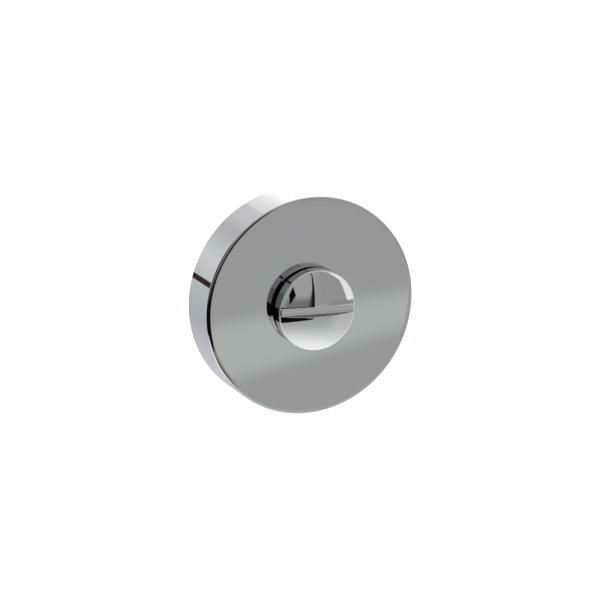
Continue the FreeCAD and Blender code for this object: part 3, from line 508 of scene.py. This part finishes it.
class Form:
    """Points, faces and the normal at each corner of each face, gathered before they become a mesh."""

    def __init__(self):
        self.points, self.faces, self.normals = [], [], []

    def point(self, x, y, z):
        self.points.append((x * MM, y * MM, z * MM))
        return len(self.points) - 1

    def face(self, corners, normals):
        """Adds a face, turned so that it looks the way its normals point."""
        places = [Vector(self.points[i]) for i in corners]
        arms = [place - places[0] for place in places[1:]]
        area = sum((a.cross(b) for a, b in zip(arms, arms[1:])), Vector())
        if area.dot(sum((Vector(n) for n in normals), Vector())) < 0:
            corners, normals = corners[::-1], normals[::-1]
        self.faces.append(corners)
        self.normals.append(normals)

    def ring(self, radius, height, angles):
        """Points round the axis. An angle of 0 is at the bottom, and height is towards the room."""
        if radius == 0:
            return [self.point(0, -height, 0)] * len(angles)
        return [self.point(radius * math.sin(a), -height, -radius * math.cos(a)) for a in angles]

    def strip(self, first, second, first_normal, second_normal, angles, skip=()):
        """Faces between two rings, whose normals are given as (outward, towards the room)."""
        count = len(angles)
        for i in range(count):
            j = (i + 1) % count
            if i in skip:
                continue
            corners, normals = [], []
            for ring, k, (out, front) in ((first, i, first_normal), (first, j, first_normal),
                                          (second, j, second_normal), (second, i, second_normal)):
                if ring[k] not in corners:
                    corners.append(ring[k])
                    normals.append((out * math.sin(angles[k]), -front, -out * math.cos(angles[k])))
            self.face(corners, normals)

    def lathe(self, stretches, angles, first_ring=None):
        """Turns a chain of stretches about the axis. The chain may start on a ring that is already there."""
        ring = first_ring or self.ring(*stretches[0][0][:2], angles)
        rings = [ring]
        for stretch in stretches:
            for before, after in zip(stretch, stretch[1:]):
                start = rings[0] if after[:2] == stretches[0][0][:2] else None
                new = start or self.ring(after[0], after[1], angles)
                self.strip(ring, new, before[2:], after[2:], angles)
                rings.append(new)
                ring = new
        return rings

    def mesh(self, name, material):
        made = bpy.data.meshes.new(name)
        made.from_pydata(self.points, [], self.faces)
        made.polygons.foreach_set("use_smooth", [True] * len(self.faces))
        made.normals_split_custom_set([n for normals in self.normals for n in normals])
        made.materials.append(material)
        made.update()
        piece = bpy.data.objects.new(name, made)
        bpy.context.scene.collection.objects.link(piece)
        print(f"{name}: {len(self.points)} points, {sum(len(f) - 2 for f in self.faces)} triangles")
        return piece


def round_angles(columns):
    return [2 * math.pi * i / columns for i in range(columns)]


# %% [markdown]
# ## Cover rose
# A brass cap is pressed, turned and buffed: a flat face, a narrow crowned zone, probably where the buffing
# wheel rolled over, a small edge radius, a side wall, and a radius at the back. A tilt of a few degrees is
# enough to turn that zone's reflection into the dark, so it shows as a black crescent. Inside there is a
# groove for the snap ring, and at the bottom a notch for the blade that lifts the cover off. The notch is
# left out of the turned skirt, and its three walls are added.

# %% Cover rose
rose_r = rose_high.x / MM
rose_front = -rose_low.y / MM
EDGE_R, CROWN_R, CROWN_TILT = 0.35, 8, 6
COVER_WALL, COVER_FRONT = 1.3, 1.4
NECK_HOLE_R, HOLE_EDGE_R, BACK_EDGE_R = 7.3, 0.12, 0.25
GROOVE_DEPTH, GROOVE_BACK, GROOVE_FRONT = 0.25, 1.8, 3.0
NOTCH_WIDTH, NOTCH_HEIGHT = 6, 1.2

bore_r = rose_r - COVER_WALL
ceiling = rose_front - COVER_FRONT
crown_sin, crown_cos = math.sin(math.radians(CROWN_TILT)), math.cos(math.radians(CROWN_TILT))
edge_height = rose_front - EDGE_R * crown_cos - CROWN_R * (1 - crown_cos)
flat_r = rose_r - EDGE_R - (CROWN_R - EDGE_R) * crown_sin
notch_columns = round(math.degrees(math.asin(NOTCH_WIDTH / 2 / rose_r)) * COLUMNS / 360)
front_stretches = [
    straight((bore_r, NOTCH_HEIGHT), (bore_r, GROOVE_BACK)),
    straight((bore_r, GROOVE_BACK), (bore_r + GROOVE_DEPTH, GROOVE_BACK)),
    straight((bore_r + GROOVE_DEPTH, GROOVE_BACK), (bore_r + GROOVE_DEPTH, GROOVE_FRONT)),
    straight((bore_r + GROOVE_DEPTH, GROOVE_FRONT), (bore_r, GROOVE_FRONT)),
    straight((bore_r, GROOVE_FRONT), (bore_r, ceiling)),
    straight((bore_r, ceiling), (NECK_HOLE_R, ceiling), steps=6),
    straight((NECK_HOLE_R, ceiling), (NECK_HOLE_R, rose_front - HOLE_EDGE_R)),
    arc((NECK_HOLE_R + HOLE_EDGE_R, rose_front - HOLE_EDGE_R), HOLE_EDGE_R, 180, 90, steps=6),
    straight((NECK_HOLE_R + HOLE_EDGE_R, rose_front), (flat_r, rose_front), steps=8),
    arc((flat_r, rose_front - CROWN_R), CROWN_R, 90, 90 - CROWN_TILT, steps=10),
    arc((rose_r - EDGE_R, edge_height), EDGE_R, 90 - CROWN_TILT, 0, steps=24),
    straight((rose_r, edge_height), (rose_r, NOTCH_HEIGHT), steps=4),
]
skirt_stretches = [
    straight((rose_r, NOTCH_HEIGHT), (rose_r, BACK_EDGE_R)),
    arc((rose_r - BACK_EDGE_R, BACK_EDGE_R), BACK_EDGE_R, 0, -90, steps=8),
    straight((rose_r - BACK_EDGE_R, 0), (bore_r, 0)),
    straight((bore_r, 0), (bore_r, NOTCH_HEIGHT)),
]

cover = Form()
angles = round_angles(COLUMNS)
rings = cover.lathe(front_stretches, angles)
inner_ring, outer_ring = rings[0], rings[-1]
notch = set(range(notch_columns)) | set(range(COLUMNS - notch_columns, COLUMNS))
ring, section = outer_ring, [outer_ring]
for stretch in skirt_stretches:
    for before, after in zip(stretch, stretch[1:]):
        last = stretch is skirt_stretches[-1]
        new = inner_ring if last else cover.ring(after[0], after[1], angles)
        cover.strip(ring, new, before[2:], after[2:], angles, skip=notch)
        ring = new
        section.append(new)
for i in notch:
    j = (i + 1) % COLUMNS
    cover.face([outer_ring[i], outer_ring[j], inner_ring[j], inner_ring[i]], [(0, 1, 0)] * 4)
for column, facing in ((notch_columns, (-1, 0, 0)), (COLUMNS - notch_columns, (1, 0, 0))):
    cover.face([ring[column] for ring in section[:-1]], [facing] * (len(section) - 1))
cover_piece = cover.mesh("cover_rose_polished", polished_chrome)
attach(cover_piece, "rose")
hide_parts("cover_rose")

# %% [markdown]
# ## The turn
# The turn is a casting: a disc with a domed front, cut across by a straight coin slot whose walls lean
# outwards so that it leaves its mould. The slot's floor is drawn very slightly hollow, as its reflections
# hint, and rolled off at its ends. The front isn't round, so it is a net of rows and columns drawn on
# a disc: each column runs up across the slot and holds the corners where floor, wall and dome meet, with
# their small radii. The outside of the net is a ring, and from there on the form is turned again.

# %% Sizes of the turn
turn_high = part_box("thumb_turn")[1]
turn_r = turn_high.x / MM
TURN_GAP, DISC_THICKNESS, DOME_HEIGHT, RIM_R = 0.9, 2.8, 1.4, 0.18
DOME_INSET = 0.2
SLOT_WIDTH, SLOT_DRAFT, SLOT_DROP = 1.65, math.radians(10), 0.02
FLOOR_TILT = math.radians(3)
LIP_R, FLOOR_R = 0.12, 0.06
ROLL_START, ROLL_DROP = 0.5, 0.12

disc_back = rose_front + TURN_GAP
rim = disc_back + DISC_THICKNESS
dome_top = rim + DOME_HEIGHT
ball_r = ((turn_r - DOME_INSET) ** 2 + DOME_HEIGHT ** 2) / (2 * DOME_HEIGHT)
ball_centre = dome_top - ball_r
edge_lean = math.asin((turn_r - RIM_R) / (ball_r - RIM_R))
net_r = ball_r * math.sin(edge_lean)
print(f"dome radius {ball_r:.1f} mm, its edge leans {math.degrees(edge_lean):.1f} degrees")


# %% One column of the net
def dome_at(x, z):
    return ball_centre + math.sqrt(ball_r ** 2 - x ** 2 - z ** 2)


def across_at(u, z):
    """Place across of a column at a place up: columns bow outwards so that the net fills a disc."""
    reach = net_r * math.sqrt(1 - u ** 2 / 2)
    return u * net_r * math.sqrt(1 - (z / reach) ** 2 / 2)


def floor_at(x):
    """Height of the slot's floor, which polishing has rolled off a little near its ends."""
    over = max(0, abs(x) - (net_r - ROLL_START)) / ROLL_START
    return rim - SLOT_DROP - ROLL_DROP * over ** 2, -2 * ROLL_DROP * over / ROLL_START * math.copysign(1, x)


def half_column(u):
    """From the slot's middle line up to the net's edge: a list of (x, height, z) and a list of normals."""
    reach = net_r * math.sqrt(1 - u ** 2 / 2)
    floor, slope = floor_at(u * net_r)
    lip = SLOT_WIDTH / 2
    for _ in range(4):
        lip_height = dome_at(across_at(u, lip), lip)
        lip = SLOT_WIDTH / 2 + math.tan(SLOT_DRAFT) * (lip_height - floor)
    wall = (lip_height - floor) / math.cos(SLOT_DRAFT)
    lip_r, foot_r = min(LIP_R, 0.4 * wall), min(FLOOR_R, 0.4 * wall)
    lean = math.asin(lip / ball_r)

    foot_turn = math.pi / 2 - SLOT_DRAFT - FLOOR_TILT
    foot_reach = foot_r * math.tan(foot_turn / 2)
    floor_half = SLOT_WIDTH / 2 - foot_reach
    dip = math.tan(FLOOR_TILT) * floor_half / 2
    lip_turn = math.pi / 2 - SLOT_DRAFT + lean
    lip_reach = lip_r * math.tan(lip_turn / 2)
    section = []
    for i in range(FLOOR_ROWS):
        share = i / FLOOR_ROWS
        normal_angle = math.pi / 2 + FLOOR_TILT * share
        section.append((floor_half * share, floor - dip * (1 - share ** 2), normal_angle, 0))
    for i in range(CORNER_ROWS + 1):
        a = FLOOR_TILT + foot_turn * i / CORNER_ROWS
        section.append((floor_half + foot_r * (math.sin(a) - math.sin(FLOOR_TILT)),
                        floor + foot_r * (math.cos(FLOOR_TILT) - math.cos(a)), math.pi / 2 + a, 0))
    start = math.pi - SLOT_DRAFT
    middle_z = lip - lip_reach * math.sin(SLOT_DRAFT) - lip_r * math.cos(start)
    middle_h = lip_height - lip_reach * math.cos(SLOT_DRAFT) - lip_r * math.sin(start)
    for i in range(CORNER_ROWS + 1):
        a = start - lip_turn * i / CORNER_ROWS
        section.append((middle_z + lip_r * math.cos(a), middle_h + lip_r * math.sin(a), a, i / CORNER_ROWS))
    first = section[-1][0]
    places = [(across_at(u, z), height, z) for z, height, _, _ in section]
    normals = []
    for i, ((x, height, z), (_, _, a, share)) in enumerate(zip(places, section)):
        on_floor = 1 if i <= FLOOR_ROWS else 0
        sideways_part = share * x / ball_r - on_floor * slope
        normals.append(Vector((sideways_part, -math.sin(a), math.cos(a))).normalized())
    for i in range(1, DOME_ROWS + 1):
        z = first + (reach - first) * i / DOME_ROWS
        x = across_at(u, z)
        height = dome_at(x, z)
        places.append((x, height, z))
        normals.append(Vector((x, -(height - ball_centre), z)) / ball_r)
    return places, normals


# %% Net of the front
NET_COLUMNS, DOME_ROWS, CORNER_ROWS, FLOOR_ROWS = 180, 44, 8, 8

turn = Form()
net, net_normals = [], []
for i in range(NET_COLUMNS + 1):
    places, normals = half_column(2 * i / NET_COLUMNS - 1)
    lower = [((x, h, -z), Vector((n.x, n.y, -n.z))) for (x, h, z), n in list(zip(places, normals))[:0:-1]]
    column = lower + list(zip(places, normals))
    net.append([turn.point(x, -h, z) for (x, h, z), _ in column])
    net_normals.append([tuple(n) for _, n in column])
rows = len(net[0])
for i in range(NET_COLUMNS):
    for j in range(rows - 1):
        cells = ((i, j), (i + 1, j), (i + 1, j + 1), (i, j + 1))
        turn.face([net[a][b] for a, b in cells], [net_normals[a][b] for a, b in cells])
print(f"net of {NET_COLUMNS} by {rows - 1}")

# %% [markdown]
# The net's edge is walked round once as a ring, starting at the bottom. The rounded rim, the side and the
# back of the disc, and its neck are turned from that ring. Where the slot runs out through the rim, the
# ring lies lower, and the rounded rim takes that up step by step.

# %% Sides and back of the turn
BACK_BEVEL = 0.3
NECK_R, NECK_ROOT, SHOULDER, SHANK_R = 7, 0.4, 9.82, 4.5

edge = ([net[i][0] for i in range(NET_COLUMNS)] + [net[-1][j] for j in range(rows - 1)]
        + [net[i][-1] for i in range(NET_COLUMNS, 0, -1)] + [net[0][j] for j in range(rows - 1, 0, -1)])
edge_angles = [math.atan2(turn.points[k][0], -turn.points[k][2]) % (2 * math.pi) for k in edge]
rim_lean = math.degrees(edge_lean)
rim_centre = (turn_r - RIM_R, dome_at(net_r, 0) - RIM_R * math.cos(edge_lean))
rim_arc = arc(rim_centre, RIM_R, 90 - rim_lean, 0, steps=14)
turned = [
    rim_arc,
    straight((turn_r, rim_centre[1]), (turn_r, disc_back + BACK_BEVEL), steps=2),
    straight((turn_r, disc_back + BACK_BEVEL), (turn_r - BACK_BEVEL, disc_back)),
    straight((turn_r - BACK_BEVEL, disc_back), (NECK_R + NECK_ROOT, disc_back)),
    straight((NECK_R + NECK_ROOT, disc_back), (NECK_R, disc_back - NECK_ROOT)),
    straight((NECK_R, disc_back - NECK_ROOT), (NECK_R, SHOULDER)),
    straight((NECK_R, SHOULDER), (0, SHOULDER)),
]
rings = turn.lathe(turned, edge_angles, first_ring=edge)
for step, ring in enumerate(rings[1:len(rim_arc) - 1], start=1):
    share = 1 - step / (len(rim_arc) - 1)
    for k, point in enumerate(ring):
        x, y, z = turn.points[point]
        drop = turn.points[edge[k]][1] + dome_at(net_r, 0) * MM
        turn.points[point] = (x, y + drop * share, z)

# %% [markdown]
# The shank is hidden in the base and isn't a mirror, so its mesh is taken from the solid as it is: the
# faces inside the shank's radius, with a plug that runs on into the disc and closes the form.

# %% Shank of the turn
PLUG = 0.6
SLACK, FLAT_DEPTH, LEVEL = 0.02, 0.3, 0.1

shank = bmesh.new()
shank.from_mesh(frame["nodes"]["thumb_turn"].data)
bmesh.ops.remove_doubles(shank, verts=shank.verts, dist=1e-7)
outside = [f for f in shank.faces if any(math.hypot(v.co.x, v.co.z) > (SHANK_R + SLACK) * MM
                                         or v.co.y < -(SHOULDER + 1) * MM for v in f.verts)]
bmesh.ops.delete(shank, geom=outside, context="FACES")
rim_edges = [e for e in shank.edges if e.is_boundary]
grown = bmesh.ops.extrude_edge_only(shank, edges=rim_edges)["geom"]
for vert in (g for g in grown if isinstance(g, bmesh.types.BMVert)):
    vert.co.y = -(SHOULDER + PLUG) * MM
bmesh.ops.contextual_create(shank, geom=[g for g in grown if isinstance(g, bmesh.types.BMEdge)])
bmesh.ops.recalc_face_normals(shank, faces=shank.faces)
first = len(turn.points)
turn.points += [tuple(v.co) for v in shank.verts]
shank.verts.index_update()
for f in shank.faces:
    from_axis_at = [Vector((v.co.x, 0, v.co.z)) for v in f.verts]
    round_side = abs(f.normal.y) < LEVEL and all(a.length > (SHANK_R - FLAT_DEPTH) * MM for a in from_axis_at)
    turn.faces.append([first + v.index for v in f.verts])
    turn.normals.append([tuple(a.normalized() if round_side and f.normal.dot(a) > 0 else f.normal)
                         for a in from_axis_at])
print("open edges left on the shank:", sum(e.is_boundary for e in shank.edges))
shank.free()
turn_piece = turn.mesh("turn_polished", polished_chrome)
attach(turn_piece, "turn")
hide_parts("thumb_turn")

# %% [markdown]
# ## Wood screws
# Each screw is rolled: the thread stands up from a core that is thinner than the plain shank, and runs out
# near the point. Its surface is a tube of rows and columns whose radius rises wherever the thread passes.
# The driver's cross is cut into the head by a Boolean with a tapered bit.

# %% Surface of one screw
SCREW_COLUMNS, ROWS_PER_PITCH, PITCH = 48, 12, 1.5
CORE_R, THREAD_HEIGHT, RIDGE_SHARE, THREAD_RISE = 1.15, 0.55, 0.22, 1.6
PLAIN_R, HEAD_R, HEAD_EDGE = 1.3, 3.42, 0.08
THREAD_TOP, THREAD_END, POINT_LENGTH, POINT_R = 4.6, 5.4, 4, 0.12

screws_low, screws_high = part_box("wood_screws")
head_top, screw_tip = -screws_low.y / MM, -screws_high.y / MM


def screw_row(height):
    """Core radius and thread height at a height on the threaded part."""
    into_point = min(1, (height - screw_tip) / POINT_LENGTH)
    run_out = min(1, max(0, (THREAD_END - height) / (THREAD_END - THREAD_TOP)))
    core = POINT_R + (CORE_R - POINT_R) * into_point + (PLAIN_R - CORE_R) * (1 - run_out)
    return core, THREAD_HEIGHT * run_out * min(1, THREAD_RISE * into_point)


def thread_ridge(height, turn_share):
    """How far up the thread's ridge a place is, from 0 to 1."""
    phase = (height / PITCH - turn_share) % 1
    return max(0, 1 - abs(phase - 0.5) / RIDGE_SHARE)


# %% Mesh of one screw
row_count = round((THREAD_END - screw_tip) / PITCH * ROWS_PER_PITCH)
cone_foot = head_top - HEAD_EDGE - (HEAD_R - PLAIN_R)
rows_of_screw = [(h, *screw_row(h)) for h in
                 (screw_tip + (THREAD_END - screw_tip) * i / row_count for i in range(row_count + 1))]
rows_of_screw += [(cone_foot, PLAIN_R, 0), (head_top - HEAD_EDGE, HEAD_R, 0),
                  (head_top, HEAD_R - HEAD_EDGE, 0)]

screw_form = bmesh.new()
screw_rings = []
for h, core, thread in rows_of_screw:
    radii = [core + thread * thread_ridge(h, k / SCREW_COLUMNS) for k in range(SCREW_COLUMNS)]
    screw_rings.append([screw_form.verts.new((r * MM * math.cos(2 * math.pi * k / SCREW_COLUMNS), -h * MM,
                                              r * MM * math.sin(2 * math.pi * k / SCREW_COLUMNS)))
                        for k, r in enumerate(radii)])
for lower, upper in zip(screw_rings, screw_rings[1:]):
    for k in range(SCREW_COLUMNS):
        n = (k + 1) % SCREW_COLUMNS
        screw_form.faces.new((lower[k], lower[n], upper[n], upper[k]))
screw_form.faces.new(screw_rings[0])
screw_form.faces.new(screw_rings[-1])
bmesh.ops.recalc_face_normals(screw_form, faces=screw_form.faces)
screw_mesh = bpy.data.meshes.new("one screw")
screw_form.to_mesh(screw_mesh)
screw_form.free()
one_screw = bpy.data.objects.new("one screw", screw_mesh)
bpy.context.scene.collection.objects.link(one_screw)
print("rows of the screw:", len(rows_of_screw))

# %% Driver's cross
CROSS_REACH, CROSS_HALF, CROSS_DEPTH, CROSS_TAPER, CROSS_ABOVE = 1.7, 0.38, 1.5, 0.35, 0.2

one_arm = ((CROSS_REACH, -CROSS_HALF), (CROSS_REACH, CROSS_HALF), (CROSS_HALF, CROSS_HALF))
quarter_turns = ((1, 0), (0, 1), (-1, 0), (0, -1))
cross = [(x * c - z * s, x * s + z * c) for c, s in quarter_turns for x, z in one_arm]


def bit_ring(share, height):
    """The cross at a height, made smaller by a share."""
    return [bit_form.verts.new((x * share * MM, -height * MM, z * share * MM)) for x, z in cross]


bit_form = bmesh.new()
mouth = bit_ring(1, head_top + CROSS_ABOVE)
foot = bit_ring(CROSS_TAPER, head_top - CROSS_DEPTH)
bit_form.faces.new(mouth)
bit_form.faces.new(foot)
for k in range(len(cross)):
    n = (k + 1) % len(cross)
    bit_form.faces.new((mouth[k], mouth[n], foot[n], foot[k]))
bmesh.ops.recalc_face_normals(bit_form, faces=bit_form.faces)
bit_mesh = bpy.data.meshes.new("driver bit")
bit_form.to_mesh(bit_mesh)
bit_form.free()
bit = bpy.data.objects.new("driver bit", bit_mesh)
bpy.context.scene.collection.objects.link(bit)

cut = one_screw.modifiers.new("driver's cross", "BOOLEAN")
cut.operation = "DIFFERENCE"
cut.solver = "EXACT"
cut.object = bit
cut_mesh = bpy.data.meshes.new_from_object(one_screw.evaluated_get(bpy.context.evaluated_depsgraph_get()))
one_screw.modifiers.clear()
one_screw.data = cut_mesh
bpy.data.objects.remove(bit)
print("faces of the screw:", len(cut_mesh.polygons))

# %% [markdown]
# ### The ring of screws
# Geometry Nodes sets the screw at every corner of a circle, each turned by its own amount as a driver
# would leave it, and joins the copies into one mesh.

# %% Node tree for the ring
ring_tree = bpy.data.node_groups.new("screws in a ring", "GeometryNodeTree")
ring_tree.interface.new_socket("Geometry", in_out="OUTPUT", socket_type="NodeSocketGeometry")
RING_INPUTS = {
    "Screw": ("NodeSocketObject", one_screw),
    "Count": ("NodeSocketInt", 4),
    "Ring radius": ("NodeSocketFloat", 17 * MM),
    "First angle": ("NodeSocketFloat", math.radians(45)),
    "Seed": ("NodeSocketInt", 3),
}
for name, (kind, _) in RING_INPUTS.items():
    ring_tree.interface.new_socket(name, in_out="INPUT", socket_type=kind)
given = add(ring_tree, "NodeGroupInput").outputs
circle = add(ring_tree, "GeometryNodeMeshCircle",
             {"Vertices": given["Count"], "Radius": given["Ring radius"]})
lean = add(ring_tree, "ShaderNodeCombineXYZ", {"X": math.pi / 2, "Y": given["First angle"]})
placed = add(ring_tree, "GeometryNodeTransform",
             {"Geometry": circle.outputs["Mesh"], "Rotation": lean.outputs[0]})
driven = add(ring_tree, "FunctionNodeRandomValue",
             {0: (0, 0, 0), 1: (0, 2 * math.pi, 0), "Seed": given["Seed"]}, data_type="FLOAT_VECTOR")
source = add(ring_tree, "GeometryNodeObjectInfo", {"Object": given["Screw"]})
copies = add(ring_tree, "GeometryNodeInstanceOnPoints", {
    "Points": placed.outputs["Geometry"], "Instance": source.outputs["Geometry"],
    "Rotation": driven.outputs[0]})
joined = add(ring_tree, "GeometryNodeRealizeInstances", {"Geometry": copies.outputs["Instances"]})
plated = add(ring_tree, "GeometryNodeSetMaterial",
             {"Geometry": joined.outputs["Geometry"], "Material": zinc_plate})
add(ring_tree, "NodeGroupOutput", {"Geometry": plated.outputs["Geometry"]})

# %% The ring as a plain mesh
SHARP_EDGE = math.radians(35)

screws = bpy.data.objects.new("wood_screws_threaded", bpy.data.meshes.new("wood_screws_threaded"))
bpy.context.scene.collection.objects.link(screws)
ring = screws.modifiers.new("ring", "NODES")
ring.node_group = ring_tree
for socket in ring_tree.interface.items_tree:
    if socket.in_out == "INPUT":
        ring[socket.identifier] = RING_INPUTS[socket.name][1]
screws_mesh = bpy.data.meshes.new_from_object(screws.evaluated_get(bpy.context.evaluated_depsgraph_get()))
screws.modifiers.clear()
screws.data = screws_mesh
bpy.data.objects.remove(one_screw)
screws_mesh.polygons.foreach_set("use_smooth", [True] * len(screws_mesh.polygons))
screws_mesh.set_sharp_from_angle(angle=SHARP_EDGE)
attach(screws, "rose")
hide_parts("wood_screws")
print("triangles of the four screws:", sum(len(f.vertices) - 2 for f in screws_mesh.polygons))
